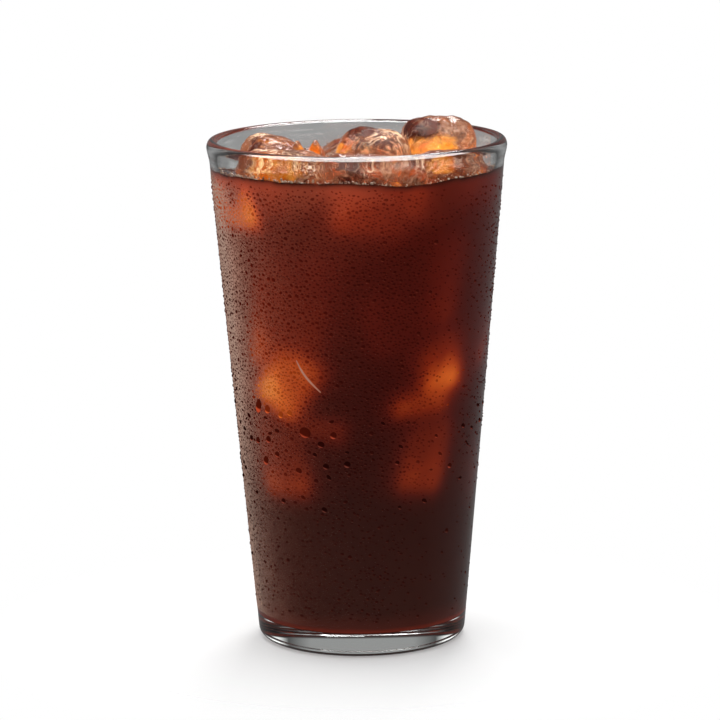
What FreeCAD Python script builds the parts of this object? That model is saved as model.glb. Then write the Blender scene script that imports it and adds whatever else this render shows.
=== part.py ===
# Iced americano in a conical glass tumbler: the glass, the black coffee that fills it and the pieces
# of ice that break the surface. Millimetres, +Z up, origin on the table at the middle of the foot.
import FreeCAD, Part
import math
import os

import Sketcher

# Driving sizes, one named cell each.
SIZES = {
    "height": 149.0,  # table to brim
    "rim_radius": 43.95,  # outside of the rounded bead
    "rim_wall": 2.5,  # just under the bead
    "bead_stand": 0.5,  # how far the bead stands out from the wall
    "foot_radius": 30.5,  # the outside wall carried down to the table
    "foot_wall": 3.1,
    "base_thickness": 6.6,
    "corner_round": 5.0,  # inside, where the wall meets the bottom
    "heel_round": 2.3,  # outside, where the wall meets the foot
    "punt_radius": 24.0,  # shallow hollow under the foot
    "punt_depth": 0.2,
    "fill_drop": 9.0,  # brim down to the coffee
    "ice_gap": 0.5,  # clearance between the deepest ice and the wall
    "ice_reach": 0.42,  # how deep the ice hangs, as a share of its room
    "melt_round": 0.16,  # melted edge of a cube, as a share of its room
}

# What follows from the sizes. The ice room is the radius that the tapering wall leaves the ice.
PLACES = {
    "axis": "0",
    "table": "0",
    "foot_radius": "Sizes.foot_radius",
    "base_top": "Sizes.base_thickness",
    "bead_radius": "(Sizes.rim_wall + Sizes.bead_stand) / 2",
    "bead_centre": "Sizes.rim_radius - bead_radius",
    "bead_height": "Sizes.height - bead_radius",
    "inner_top": "bead_centre - bead_radius",
    "outer_top": "Sizes.rim_radius - Sizes.bead_stand",
    "bead_foot": "bead_height - sqrt(bead_radius ^ 2 - (outer_top - bead_centre) ^ 2)",
    "outer_slope": "(outer_top - foot_radius) / bead_foot",
    "inner_foot": "foot_radius + outer_slope * base_top - Sizes.foot_wall",
    "inner_slope": "(inner_top - inner_foot) / (bead_height - base_top)",
    "brim": "Sizes.height",
    "punt_sphere": "(Sizes.punt_radius ^ 2 + Sizes.punt_depth ^ 2) / (2 * Sizes.punt_depth)",
    "level": "Sizes.height - Sizes.fill_drop",
    "level_radius": "inner_top - inner_slope * (bead_height - level)",
    "ice_room": "(level_radius - Sizes.ice_gap) / (1 + inner_slope * Sizes.ice_reach)",
}

# Outlines that the ice is padded from, as shares of half its sides: a cube that melted unevenly,
# and a shard with two peaks.
CUBE = ((-0.94, -0.94), (1.05, -1.05), (1.02, 1.02), (-0.95, 0.95))
SHARD = ((-1.0, -1.0), (1.0, -1.0), (1.0, 0.25), (0.48, 1.0), (-0.02, 0.1), (-0.52, 0.95), (-1.0, 0.1))

# Each piece of ice: outline, sides, centre from the axis and the coffee's surface, turns about Z, Y
# and X in degrees, draft in degrees, and its share of the melted edge. Sides and centres are shares
# of the ice room.
ICE = {
    "ice_left": (CUBE, (0.50, 0.60, 0.56), (-0.674, 0.205, -0.060), (16, 10, 5), -3.0, 1.0),
    "ice_front_left": (CUBE, (0.60, 0.48, 0.48), (-0.550, -0.480, -0.042), (-46, 6, 4), 4.0, 0.9),
    "ice_front": (CUBE, (0.72, 0.34, 0.46), (0.105, -0.762, -0.038), (6, 4, 4), 4.0, 0.8),
    "ice_front_right": (CUBE, (0.56, 0.42, 0.42), (0.678, -0.370, -0.033), (60, 6, -6), 4.0, 1.0),
    "ice_centre": (CUBE, (0.68, 0.60, 0.66), (0.100, -0.140, -0.005), (-12, 5, -4), -7.0, 1.25),
    "ice_right": (CUBE, (0.70, 0.60, 0.66), (0.605, 0.340, 0.020), (28, 4, -5), -7.0, 1.25),
    "ice_back": (CUBE, (0.56, 0.46, 0.52), (-0.020, 0.610, -0.100), (4, -28, 4), -4.0, 0.8),
    "ice_shard": (SHARD, (0.28, 0.30, 0.10), (-0.386, -0.124, 0.100), (-8, 0, 90), -4.0, 0.09),
}

WIDEST_MELT = 0.47  # the most that an edge rounds, as a share of the narrowest side

doc = FreeCAD.newDocument("iced_americano")
sheet = doc.addObject("Spreadsheet::Sheet", "Sizes")
for row, (alias, value) in enumerate(SIZES.items(), start=1):
    sheet.set("A%d" % row, alias)
    sheet.set("B%d" % row, str(value))
    sheet.setAlias("B%d" % row, alias)
doc.recompute()

places = doc.addObject("App::VarSet", "Places")
for name in PLACES:
    places.addProperty("App::PropertyFloat", name)
for name, expression in PLACES.items():
    places.setExpression(name, expression)
doc.recompute()


def new_body(label):
    body = doc.addObject("PartDesign::Body", "Body_" + label)
    body.Label = label
    return body


def new_sketch(body, role, name):
    """A sketch on one of the body's own origin planes."""
    plane = next(item for item in body.Origin.OriginFeatures if item.Role == role)
    sketch = body.newObject("Sketcher::SketchObject", name)
    sketch.AttachmentSupport = [(plane, "")]
    sketch.MapMode = "FlatFace"
    return sketch


def near(corner, unit=None):
    """Where a corner lies now: a pair of places, or of shares of one place."""
    if unit:
        return FreeCAD.Vector(*corner, 0) * getattr(places, unit)
    return FreeCAD.Vector(getattr(places, corner[0]), getattr(places, corner[1]), 0)


def tie(sketch, kind, edge, vertex, term, value, unit=None):
    """A distance from the sketch's origin that follows its place."""
    number = sketch.addConstraint(Sketcher.Constraint(kind, -1, 1, edge, vertex, value))
    expression = "%s * Places.%s" % (term, unit) if unit else "Places." + term
    sketch.setExpression("Constraints[%d]" % number, expression)


def draw_outline(sketch, corners, unit=None, bends=(), centre=None):
    """A closed outline through its corners; the edges numbered in bends turn about a centre."""
    count = len(corners)
    for index, corner in enumerate(corners):
        start = near(corner, unit)
        end = near(corners[(index + 1) % count], unit)
        edge = Part.LineSegment(start, end)
        if index in bends:
            middle = near(centre)
            circle = Part.Circle(middle, FreeCAD.Vector(0, 0, 1), (start - middle).Length)
            edge = Part.ArcOfCircle(circle, circle.parameter(start), circle.parameter(end))
        sketch.addGeometry(edge, False)
    for index, corner in enumerate(corners):
        sketch.addConstraint(Sketcher.Constraint("Coincident", index, 2, (index + 1) % count, 1))
        start = near(corner, unit)
        tie(sketch, "DistanceX", index, 1, corner[0], start.x, unit)
        tie(sketch, "DistanceY", index, 1, corner[1], start.y, unit)
    for index in bends:
        tie(sketch, "DistanceX", index, 3, centre[0], near(centre).x)


def revolve(body, sketch, name):
    """A full turn of the sketch about the body's Z axis."""
    turn = body.newObject("PartDesign::Revolution", name)
    turn.Profile = sketch
    turn.ReferenceAxis = (sketch, ["V_Axis"])
    turn.Angle = 360
    doc.recompute()


def round_ring(body, height, radius_cell, name):
    """Rounds the widest ring of edges at a height of the body."""
    rings = {}
    for number, edge in enumerate(body.Tip.Shape.Edges, start=1):
        if isinstance(edge.Curve, Part.Circle) and abs(edge.Curve.Center.z - height) < 0.001:
            rings["Edge%d" % number] = edge.Curve.Radius
    fillet = body.newObject("PartDesign::Fillet", name)
    fillet.Base = (fillet.BaseFeature, [max(rings, key=rings.get)])
    fillet.setExpression("Radius", "Sizes." + radius_cell)
    doc.recompute()


def make_glass():
    """The tumbler: straight tapering wall, rounded bead, thick bottom with a shallow punt."""
    body = new_body("glass")
    section = new_sketch(body, "XZ_Plane", "GlassSection")
    corners = (
        ("axis", "table"),
        ("foot_radius", "table"),
        ("outer_top", "bead_foot"),
        ("bead_centre", "brim"),
        ("inner_top", "bead_height"),
        ("inner_foot", "base_top"),
        ("axis", "base_top"),
    )
    draw_outline(section, corners, bends=(2, 3), centre=("bead_centre", "bead_height"))
    revolve(body, section, "Wall")
    round_ring(body, places.table, "heel_round", "Heel")
    round_ring(body, places.base_top, "corner_round", "Corner")

    punt = body.newObject("PartDesign::SubtractiveSphere", "Punt")
    punt.setExpression("Radius", "Places.punt_sphere")
    punt.setExpression("Placement.Base.z", "Sizes.punt_depth - Places.punt_sphere")
    doc.recompute()
    return body


def make_ice(label, outline, sides, centre, turns, draft, melt):
    """One piece: an uneven outline padded with a draft, its edges melted round within its sides."""
    body = new_body(label)
    section = new_sketch(body, "XY_Plane", "Section_" + label)
    corners = [(x * sides[0] / 2, y * sides[1] / 2) for x, y in outline]
    draw_outline(section, corners, unit="ice_room")
    section.setExpression("AttachmentOffset.Base.z", "%s * Places.ice_room" % (-sides[2] / 2))
    pad = body.newObject("PartDesign::Pad", "Pad_" + label)
    pad.Profile = section
    pad.setExpression("Length", "%s * Places.ice_room" % sides[2])
    pad.TaperAngle = draft
    doc.recompute()
    narrowing = 2 * sides[2] * math.tan(math.radians(max(-draft, 0)))
    widest_melt = WIDEST_MELT * min(sides[0] - narrowing, sides[1] - narrowing, sides[2])
    fillet = body.newObject("PartDesign::Fillet", "Melt_" + label)
    fillet.Base = (pad, [""])
    fillet.UseAllEdges = True
    fillet.setExpression("Radius", "min(%s * Sizes.melt_round; %s) * Places.ice_room" % (melt, widest_melt))

    body.Placement = FreeCAD.Placement(FreeCAD.Vector(), FreeCAD.Rotation(*turns))
    body.setExpression("Placement.Base.x", "%s * Places.ice_room" % centre[0])
    body.setExpression("Placement.Base.y", "%s * Places.ice_room" % centre[1])
    body.setExpression("Placement.Base.z", "Places.level + %s * Places.ice_room" % centre[2])
    doc.recompute()
    return body


def make_coffee(ice):
    """The drink up to its level, with the ice cut out of it."""
    body = new_body("coffee_uncut")
    fill = new_sketch(body, "XZ_Plane", "FillSection")
    corners = (
        ("axis", "base_top"),
        ("inner_foot", "base_top"),
        ("level_radius", "level"),
        ("axis", "level"),
    )
    draw_outline(fill, corners)
    revolve(body, fill, "Fill")
    round_ring(body, places.base_top, "corner_round", "FillCorner")
    all_ice = doc.addObject("Part::MultiFuse", "AllIce")
    all_ice.Shapes = ice
    coffee = doc.addObject("Part::Cut", "Coffee")
    coffee.Label = "coffee"
    coffee.Base = body
    coffee.Tool = all_ice
    doc.recompute()
    return coffee


def write_parts(parts):
    """Stops on any failed object, then writes one STEP file for each sub-part."""
    for item in doc.Objects:
        if {"Invalid", "Error"} & set(item.State):
            raise RuntimeError("%s did not build: %s" % (item.Label, item.State))
    for part in parts:
        if part.Shape.isNull() or not part.Shape.isValid():
            raise RuntimeError("%s has no valid shape" % part.Label)
    os.makedirs("parts", exist_ok=True)
    for part in parts:
        part.Shape.exportStep("parts/%s.step" % part.Label)
        print("%s: %.1f cm3" % (part.Label, part.Shape.Volume / 1000))


glass = make_glass()
ice_pieces = [make_ice(label, *spec) for label, spec in ICE.items()]
write_parts([glass, make_coffee(ice_pieces)] + ice_pieces)
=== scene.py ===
import math
import random

import bpy
import numpy as np
from mathutils import Matrix, Vector
from mathutils.bvhtree import BVHTree


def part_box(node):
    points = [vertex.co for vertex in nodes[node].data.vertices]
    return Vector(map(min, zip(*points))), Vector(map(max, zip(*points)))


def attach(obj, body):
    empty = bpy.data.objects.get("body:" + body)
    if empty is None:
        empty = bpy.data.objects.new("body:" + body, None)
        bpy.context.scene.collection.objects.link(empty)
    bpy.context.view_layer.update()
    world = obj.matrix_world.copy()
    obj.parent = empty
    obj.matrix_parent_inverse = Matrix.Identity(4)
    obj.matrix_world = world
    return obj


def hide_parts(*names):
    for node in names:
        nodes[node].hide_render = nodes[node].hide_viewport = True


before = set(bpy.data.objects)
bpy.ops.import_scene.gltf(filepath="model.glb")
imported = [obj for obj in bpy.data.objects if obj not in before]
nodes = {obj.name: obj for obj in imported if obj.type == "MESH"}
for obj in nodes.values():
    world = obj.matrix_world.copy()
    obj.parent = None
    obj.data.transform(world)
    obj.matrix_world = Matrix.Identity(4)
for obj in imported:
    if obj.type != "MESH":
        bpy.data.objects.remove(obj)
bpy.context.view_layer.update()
mm = 0.001
iceNodes = sorted(name for name in nodes if name.startswith("ice_"))
print("frame loaded:", len(nodes), "CAD nodes")


def deselectAll():
    if bpy.context.object is not None and bpy.context.object.mode != "OBJECT":
        bpy.ops.object.mode_set(mode="OBJECT")
    bpy.ops.object.select_all(action="DESELECT")


def pick(obj):
    deselectAll()
    obj.select_set(True)
    bpy.context.view_layer.objects.active = obj


def selectEdges(obj, wanted):
    # picks the edges whose ends both pass the test, and leaves edit mode on
    bpy.ops.object.mode_set(mode="EDIT")
    bpy.ops.mesh.select_mode(type="EDGE")
    bpy.ops.mesh.select_all(action="DESELECT")
    bpy.ops.object.mode_set(mode="OBJECT")
    inside = [wanted(v.co) for v in obj.data.vertices]
    for edge in obj.data.edges:
        edge.select = inside[edge.vertices[0]] and inside[edge.vertices[1]]
    bpy.ops.object.mode_set(mode="EDIT")


def turnShape(name, rings, segments):
    # a closed turned shape, pulled ring by ring out of one disc; rings are (radius, height) pairs
    deselectAll()
    firstRadius, firstHeight = rings[0]
    bpy.ops.mesh.primitive_circle_add(vertices=segments, radius=firstRadius, fill_type="TRIFAN",
                                      location=(0, 0, firstHeight))
    obj = bpy.context.object
    obj.name = name
    bpy.ops.object.transform_apply(location=True, rotation=True, scale=True)
    selectEdges(obj, lambda p: p.xy.length > firstRadius * 0.5)
    for (radiusBefore, heightBefore), (radius, height) in zip(rings, rings[1:]):
        bpy.ops.mesh.extrude_edges_move(TRANSFORM_OT_translate={"value": (0, 0, height - heightBefore)})
        grow = radius / radiusBefore
        bpy.ops.transform.resize(value=(grow, grow, 1), center_override=(0, 0, height))
    bpy.ops.mesh.extrude_edges_move(TRANSFORM_OT_translate={"value": (0, 0, 0)})
    bpy.ops.mesh.merge(type="CENTER")
    bpy.ops.mesh.select_all(action="SELECT")
    bpy.ops.mesh.normals_make_consistent(inside=False)
    bpy.ops.object.mode_set(mode="OBJECT")
    bpy.ops.object.shade_smooth()
    return obj


def arc(centreRadius, centreHeight, radius, startDegrees, endDegrees, steps):
    # points round a centre, both ends among them
    sweep = endDegrees - startDegrees
    angles = [math.radians(startDegrees + sweep * i / steps) for i in range(steps + 1)]
    return [(centreRadius + radius * math.cos(a), centreHeight + radius * math.sin(a)) for a in angles]


def straight(start, end, steps):
    # points between two ends, both ends left out
    return [tuple(a + (b - a) * i / steps for a, b in zip(start, end)) for i in range(1, steps)]


def addModifier(obj, kind, **settings):
    # adds a modifier and applies it at once
    pick(obj)
    modifier = obj.modifiers.new(kind.title(), kind)
    for key, value in settings.items():
        setattr(modifier, key, value)
    bpy.ops.object.modifier_apply(modifier=modifier.name)


def finishPiece(obj, material, slotName, *replaced):
    # gives a piece its material and its body, and hides the CAD nodes that it stands for; the slot name
    # is not used
    obj.data.materials.clear()
    obj.data.materials.append(material)
    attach(obj, "root")
    if replaced:
        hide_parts(*replaced)
    return obj


def setAttribute(obj, name, values):
    # one number a vertex, which a material reads by its name
    attribute = obj.data.attributes.new(name, "FLOAT", "POINT")
    attribute.data.foreach_set("value", np.asarray(values, np.float32))


def vertexPlaces(obj):
    places = np.zeros(len(obj.data.vertices) * 3)
    obj.data.vertices.foreach_get("co", places)
    return places.reshape(-1, 3)


def smoothStep(low, high, values):
    share = np.clip((values - low) / (high - low), 0, 1)
    return share * share * (3 - 2 * share)


class Wire:
    # one output socket; arithmetic on it adds Math nodes
    def __init__(self, board, socket):
        self.board, self.socket = board, socket

    def join(self, operation, first, second):
        return self.board.add("Math", {"operation": operation}, {0: first, 1: second})

    def __add__(self, other):
        return self.join("ADD", self, other)

    def __sub__(self, other):
        return self.join("SUBTRACT", self, other)

    def __rsub__(self, other):
        return self.join("SUBTRACT", other, self)

    def __mul__(self, other):
        return self.join("MULTIPLY", self, other)

    def __truediv__(self, other):
        return self.join("DIVIDE", self, other)

    def __pow__(self, other):
        return self.join("POWER", self, other)

    __radd__ = __add__
    __rmul__ = __mul__

    def clamped(self):
        return self.board.add("Clamp", {}, {0: self})

    def above(self, start, slope):
        # 0 up to a start, then rising to 1
        return ((self - start) * slope).clamped()

    def below(self, end, slope):
        # falling from 1 to 0 at an end
        return ((end - self) * slope).clamped()


class Board:
    # the node tree of one material or of the world
    def __init__(self, owner):
        owner.use_nodes = True
        self.tree = owner.node_tree
        self.tree.nodes.clear()

    def add(self, kind, settings=None, inputs=None, output=0):
        node = self.tree.nodes.new("ShaderNode" + kind)
        for key, value in (settings or {}).items():
            if key == "stops":
                self.setStops(node.color_ramp, value)
            else:
                setattr(node, key, value)
        for key, value in (inputs or {}).items():
            if isinstance(value, Wire):
                self.tree.links.new(value.socket, node.inputs[key])
            else:
                node.inputs[key].default_value = value
        return Wire(self, node.outputs[output]) if node.outputs else node

    def setStops(self, ramp, stops):
        while len(ramp.elements) < len(stops):
            ramp.elements.new(0.5)
        for element, (place, colour) in zip(ramp.elements, stops):
            element.position = place
            element.color = (*colour, 1)

    def ramp(self, factor, stops):
        return self.add("ValToRGB", {"stops": stops}, {0: factor})

    def mixColours(self, factor, first, second, blend="MIX"):
        first, second = [tone if isinstance(tone, Wire) else (*tone, 1) for tone in (first, second)]
        return self.add("Mix", {"data_type": "RGBA", "blend_type": blend},
                        {0: factor, 6: first, 7: second}, 2)

    def place(self):
        return self.add("TexCoord", output="Object")

    def axis(self, number, vector=None):
        # one of x, y and z of a place or direction
        return self.add("SeparateXYZ", {}, {0: vector or self.place()}, number)

    def noise(self, scale, detail=2.0, roughness=0.5, distortion=0.0):
        return self.add("TexNoise", {}, {"Vector": self.place(), "Scale": scale, "Detail": detail,
                                         "Roughness": roughness, "Distortion": distortion})

    def attribute(self, name):
        return self.add("Attribute", {"attribute_name": name}, {}, "Fac")

    def bump(self, height, strength, distance):
        return self.add("Bump", {}, {"Height": height, "Strength": strength, "Distance": distance},
                        "Normal")

    def shader(self, kind, sockets):
        return self.add(kind, {}, sockets)

    def blendShaders(self, factor, first, second):
        return self.add("MixShader", {}, {0: factor, 1: first, 2: second})

    def close(self, shader, kind="OutputMaterial"):
        self.add(kind, {}, {"Surface": shader})


def makeFinish(name):
    # a new material with the empty board of its nodes
    material = bpy.data.materials.new(name)
    return material, Board(material)


def closeFinish(board, sockets):
    board.close(board.shader("BsdfPrincipled", sockets))


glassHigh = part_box("glass")[1]
coffeeLow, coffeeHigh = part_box("coffee")

# the glass, turned ring by ring
tumbler = {
    "height": glassHigh.z,
    "rimRadius": glassHigh.x,
    "rimWall": 2.5 * mm,
    "bead": 1.5 * mm,
    "beadTall": 2.3 * mm,    # how far the bead's widest ring lies under the brim
    "beadRun": 4.5 * mm,     # how far the bead runs out into the wall below that ring
    "beadStep": 0.5 * mm,    # how far the bead stands out from the wall
    "innerTall": 0.8 * mm,   # how far down the brim rounds over on the inside
    "footRadius": 30.5 * mm,
    "fullWidth": 2.6 * mm,   # how far under the brim the wall's own slope reaches its full width
    "footWall": 3.1 * mm,
    "base": coffeeLow.z,
    "corner": 5.0 * mm,
    "heel": 3.2 * mm,
    "puntRadius": 24.0 * mm,
    "puntDepth": 0.2 * mm,
    "puntEdge": 0.6 * mm,
    "middle": 0.4 * mm,      # radius of the first and last ring, which close to a point
    "segments": 288,
    "steps": {"punt": 8, "heel": 10, "wall": 12, "swell": 16, "bead": 20, "brim": 14,
              "inside": 12, "corner": 10, "floor": 6},       # rings of each stretch of the outline
}
beadCentre = (tumbler["rimRadius"] - tumbler["bead"], tumbler["height"] - tumbler["beadTall"])
outerTop = tumbler["rimRadius"] - tumbler["beadStep"]
innerTop = outerTop - tumbler["rimWall"]
outerSlope = (outerTop - tumbler["footRadius"]) / (tumbler["height"] - tumbler["fullWidth"])
innerFoot = tumbler["footRadius"] + outerSlope * tumbler["base"] - tumbler["footWall"]
innerStart = tumbler["height"] - tumbler["innerTall"]
innerSlope = (innerTop - innerFoot) / (innerStart - tumbler["base"])
wallTilt = math.atan(outerSlope)
innerTilt = math.atan(innerSlope)


def outerRadius(height):
    return tumbler["footRadius"] + outerSlope * height


def innerRadius(height):
    return innerTop - innerSlope * (innerStart - height)


def cornerCentre():
    # centre of the round between floor and wall inside the glass
    radius = tumbler["corner"]
    height = tumbler["base"] + radius
    return innerRadius(height) - radius / math.cos(innerTilt), height


def makeTumbler():
    t, steps = tumbler, tumbler["steps"]
    # the punt, a shallow dome under the foot
    sphere = (t["puntRadius"] ** 2 + t["puntDepth"] ** 2) / (2 * t["puntDepth"])
    puntHalf = math.degrees(math.asin(t["puntRadius"] / sphere))
    rings = [(t["middle"], t["puntDepth"])]
    for angle in np.linspace(0.8, puntHalf, steps["punt"]):
        turn = math.radians(angle)
        rings.append((sphere * math.sin(turn), t["puntDepth"] - sphere * (1 - math.cos(turn))))
    # the heel and the outer wall
    heelCentre = (outerRadius(t["heel"]) - t["heel"] / math.cos(wallTilt), t["heel"])
    rings += [(t["puntRadius"] + t["puntEdge"], 0.0)]
    rings += arc(*heelCentre, t["heel"], -90, -math.degrees(wallTilt), steps["heel"])
    beadFoot = beadCentre[1] - t["beadRun"]
    rings += straight(rings[-1], (outerRadius(beadFoot), beadFoot), steps["wall"])
    # the bead, which swells out of the wall and rounds over the brim
    standOut = beadCentre[0] + t["bead"] - outerRadius(beadCentre[1])
    for share in np.linspace(0, 1, steps["swell"]):
        height = beadFoot + t["beadRun"] * share
        rings.append((outerRadius(height) + standOut * share * share * (3 - 2 * share), height))
    rings += [(radius, beadCentre[1] + (height - beadCentre[1]) * t["beadTall"] / t["bead"])
              for radius, height in arc(*beadCentre, t["bead"], 0, 90, steps["bead"])[1:]]
    rings += [(radius, innerStart + (height - innerStart) * t["innerTall"] / t["bead"])
              for radius, height in arc(beadCentre[0], innerStart, t["bead"], 90, 180, steps["brim"])[1:]]
    # the inner wall, its round corner and the floor
    cornerRadius, cornerHeight = cornerCentre()
    innerEnd = (cornerRadius + t["corner"] * math.cos(innerTilt),
                cornerHeight - t["corner"] * math.sin(innerTilt))
    rings += straight(rings[-1], innerEnd, steps["inside"])
    rings += arc(cornerRadius, cornerHeight, t["corner"], -math.degrees(innerTilt), -90, steps["corner"])
    floorMiddle = (t["middle"], t["base"])
    rings += straight(rings[-1], floorMiddle, steps["floor"]) + [floorMiddle]
    return turnShape("tumbler", rings, t["segments"])


def clearGlassFinish():
    material, board = makeFinish("clear glass")
    smudge = board.noise(60, 3.0)
    waver = board.noise(28, 1.0)
    tint = board.ramp(board.axis(2) / tumbler["height"],
                      [(0.0, (0.90, 0.93, 0.91)), (0.12, (0.97, 0.98, 0.975))])
    closeFinish(board, {
        "Base Color": tint, "Roughness": smudge * 0.03, "IOR": 1.5, "Transmission Weight": 1.0,
        "Normal": board.bump(waver, 0.03, 0.002)})
    return material


glassPiece = finishPiece(makeTumbler(), clearGlassFinish(), "glass", "glass")
print("tumbler turned:", len(glassPiece.data.polygons), "faces")


# the ice that stands out of the drink, worn from the plain cubes of the frame
iceIor = 1.31
iceLooks = {
    "detail": 0.5 * mm,      # size of the remeshed grid
    "melt": 1.6 * mm,        # depth of the broad melted hollows
    "hollow": 7.0 * mm,
    "ripple": 0.55 * mm,     # depth of the fine ripples
    "rippleSize": 3.0 * mm,
    "overlap": 0.2 * mm,     # how far the ice reaches into the drink round it
    "shardGrid": 0.6,        # grid and wear of the small shard, as shares of the others'
    "shardWear": 0.55,
}
# soft spots on the ice: centre in mm, radius in mm, strength
iceSpots = {
    "amber": [                                   # painted amber light, where light comes through the drink
        ((-24, -30, 144), 9, 1.0), ((-14, -6, 146), 5, 0.8), ((-6, -8, 146), 5, 0.8),
        ((-4, -10, 147), 3.5, 1.0), ((18, 4, 145.8), 5, 1.1), ((25, 4, 145.8), 5.5, 1.1),
        ((24, -24, 144.5), 4.5, 1.0), ((2, 30, 143), 7, 0.9), ((-26, 14, 141), 6, 0.8),
        ((34, 16, 141), 6, 0.8), ((24, 24, 141), 6, 0.7)],
    "dark": [                                    # painted shade, where the ice shows only the dark drink behind it
        ((17, 6, 151.3), 6, 1.4), ((2, -8, 151.5), 5, 1.0), ((-33, 0, 146), 7, 0.7),
        ((0, -38, 143), 8, 0.6), ((6, -14, 150), 7, 0.6), ((28, 22, 149), 5, 0.5),
        ((-24, 8, 146), 6, 0.5), ((0, 22, 145), 6, 0.5), ((-35, -14, 145), 4, 0.7)],
    "wrinkled": [                                # where it is creased, and where painted glints sparkle on it
        ((8, -10, 150), 7, 1.0), ((14, -6, 148), 6, 1.0), ((-28, -26, 145), 6, 0.85),
        ((20, -30, 143), 5, 0.5), ((0, -36, 142), 8, 0.25), ((22, 10, 152), 5, 0.5),
        ((4, 26, 147), 6, 0.7), ((-30, 16, 147), 5, 0.6)],
}
spotSquash = (1, 1, 1.7)                         # spots are flatter than they are wide


def cloudPattern(name, size):
    pattern = bpy.data.textures.new(name, "CLOUDS")
    pattern.noise_scale = size
    return pattern


def copyNode(node, name):
    # a copy of a CAD node that is free to be changed, with its loose triangles merged
    deselectAll()
    obj = nodes[node].copy()
    obj.data = nodes[node].data.copy()
    obj.name = name
    for key in list(obj.keys()):
        del obj[key]
    obj.parent = None
    bpy.context.scene.collection.objects.link(obj)
    obj.hide_render = obj.hide_viewport = False
    pick(obj)
    bpy.ops.object.mode_set(mode="EDIT")
    bpy.ops.mesh.select_all(action="SELECT")
    bpy.ops.mesh.remove_doubles(threshold=1e-6)
    bpy.ops.mesh.normals_make_consistent(inside=False)
    bpy.ops.object.mode_set(mode="OBJECT")
    return obj


def shapeIce(node):
    look = iceLooks
    obj = copyNode(node, node.replace("ice_", "melting_ice_"))
    small = node == "ice_shard"
    grid, share = (look["shardGrid"], look["shardWear"]) if small else (1, 1.0)
    addModifier(obj, "REMESH", mode="VOXEL", voxel_size=look["detail"] * grid)
    addModifier(obj, "SMOOTH", factor=0.5, iterations=2 if small else 4)
    addModifier(obj, "DISPLACE", texture=cloudPattern("hollows", look["hollow"]), texture_coords="LOCAL",
                strength=-look["melt"] * share, mid_level=0.55)
    addModifier(obj, "DISPLACE", texture=cloudPattern("ripples", look["rippleSize"]),
                texture_coords="LOCAL", strength=look["ripple"] * share, mid_level=0.5)
    bpy.ops.object.shade_smooth()
    return obj


def paintSpots(obj, name, spots):
    places = vertexPlaces(obj) / mm
    values = np.zeros(len(places))
    for centre, radius, strength in spots:
        away = np.linalg.norm((places - np.array(centre)) * spotSquash, axis=1)
        values = np.maximum(values, strength * np.exp(-(away / radius) ** 2))
    setAttribute(obj, name, values)


# colours of the ice
iceTones = {
    "clear": ((0.90, 0.51, 0.35), (0.12, 0.018, 0.010)),      # elsewhere, and in the patches of painted shade
    "warm": ((0.11, 0.040, 0.019), (0.02, 0.004, 0.002)),     # the faint light in both
    "ember": ((0.92, 0.24, 0.035), (1.0, 0.60, 0.20)),        # deep and bright amber, painted light through the drink
    "glowing": ((0.62, 0.14, 0.008), (0.95, 0.33, 0.035)),    # the light in both
    "milky": [(0.3, (0.15, 0.038, 0.022)), (0.55, (0.44, 0.18, 0.10)), (0.72, (0.76, 0.44, 0.28))],
    "milkyEmber": ((0.60, 0.13, 0.012), (0.90, 0.42, 0.08)),
    "glint": ((0.95, 0.62, 0.38), (1.0, 0.60, 0.20)),         # of the painted glints, elsewhere and in the amber patches
    "shadow": [(0.35, (0.045, 0.009, 0.006)), (0.65, (0.15, 0.026, 0.012))],
    "shine": (0.38, 0.25, 0.16, 1),                           # tints of the reflections
    "veinShine": (1.0, 0.82, 0.62, 1),
    "glintLight": (1.0, 0.66, 0.38, 1),
}


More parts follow.
